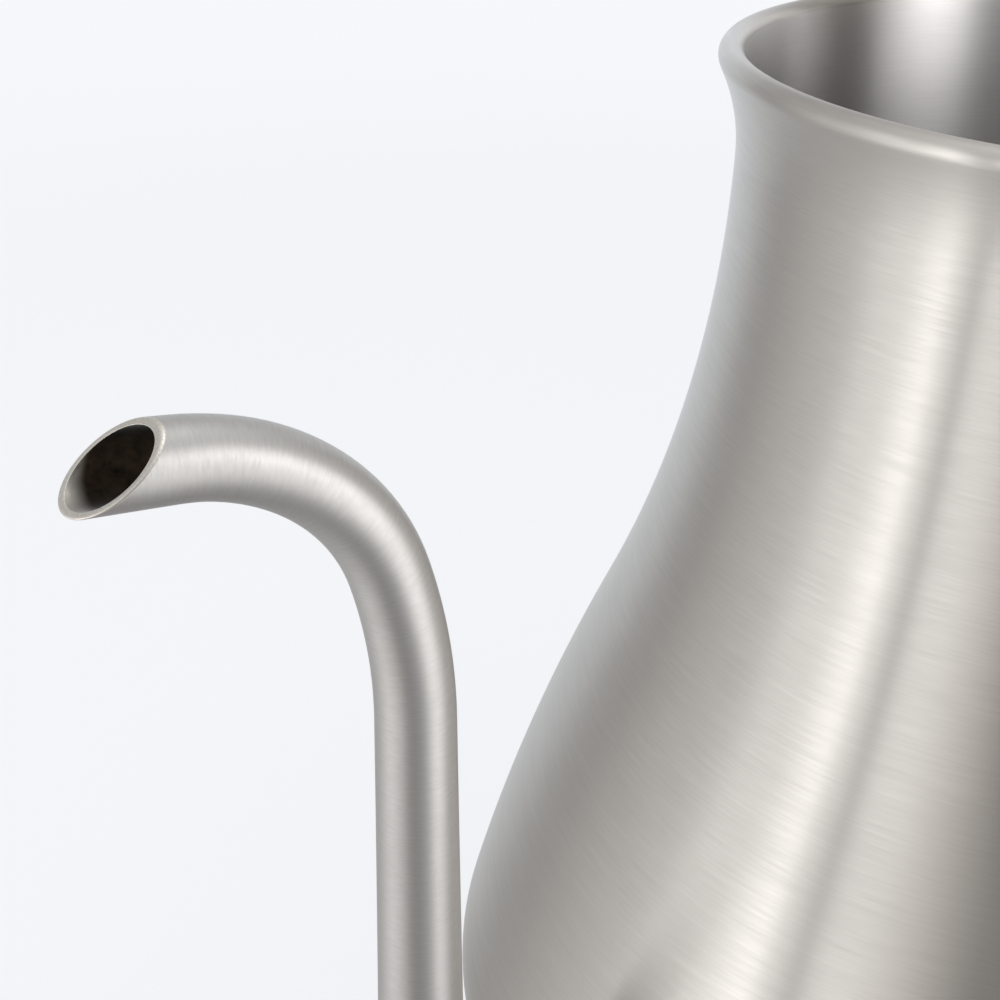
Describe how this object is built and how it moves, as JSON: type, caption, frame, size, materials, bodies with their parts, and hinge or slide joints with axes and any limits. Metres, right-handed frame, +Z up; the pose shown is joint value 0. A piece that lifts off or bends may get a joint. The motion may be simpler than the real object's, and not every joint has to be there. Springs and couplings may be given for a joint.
{
  "type": "gooseneck kettle",
  "caption": "Brushed steel stovetop kettle with a pear-shaped body, slim gooseneck spout, riveted loop handle and hinged lid, for pouring hot water slowly.",
  "frame": {"origin": "middle of the flat base, on the surface the kettle stands on", "axes": "+Z up the kettle's axis, -X towards the spout, +X towards the handle"},
  "size_m": [0.2411, 0.1434, 0.2483],
  "materials": {
    "brushed_steel": "fine satin brushing around the axis, polished inside the neck",
    "bracket_steel": "satin",
    "fastener_steel": "polished",
    "base_steel": "turned",
    "aluminium": "plain",
    "black_moulding": "matte moulded",
    "silicone": "matte",
    "brass": "plain"
  },
  "bodies": {
    "kettle": {"body_shell": "brushed_steel", "bottom_pan": "brushed_steel", "heat_spreader": "aluminium", "base_cap": "base_steel", "spout_root": "brushed_steel", "spout_tube": "brushed_steel", "upper_bracket": "bracket_steel", "lower_bracket": "bracket_steel", "handle_strap": "bracket_steel", "grip_outer": "black_moulding", "grip_inner": "black_moulding", "grip_rivets": "fastener_steel", "upper_rivets": "fastener_steel", "lower_rivets": "fastener_steel", "hinge_bracket": "bracket_steel", "hinge_pin": "fastener_steel"},
    "lid": {"lid_cover": "brushed_steel", "lid_skirt": "brushed_steel", "lid_leaf": "bracket_steel", "leaf_rivets": "fastener_steel", "lid_knob": "black_moulding", "knob_insert": "brass", "knob_washer": "silicone", "knob_screw": "fastener_steel"}
  },
  "joints": [
    {"name": "lid_hinge", "type": "hinge", "parent": "kettle", "child": "lid", "pos_m": [0.05295, 0, 0.1517], "axis": [0, 1, 0], "range_deg": [-105, 0]}
  ]
}
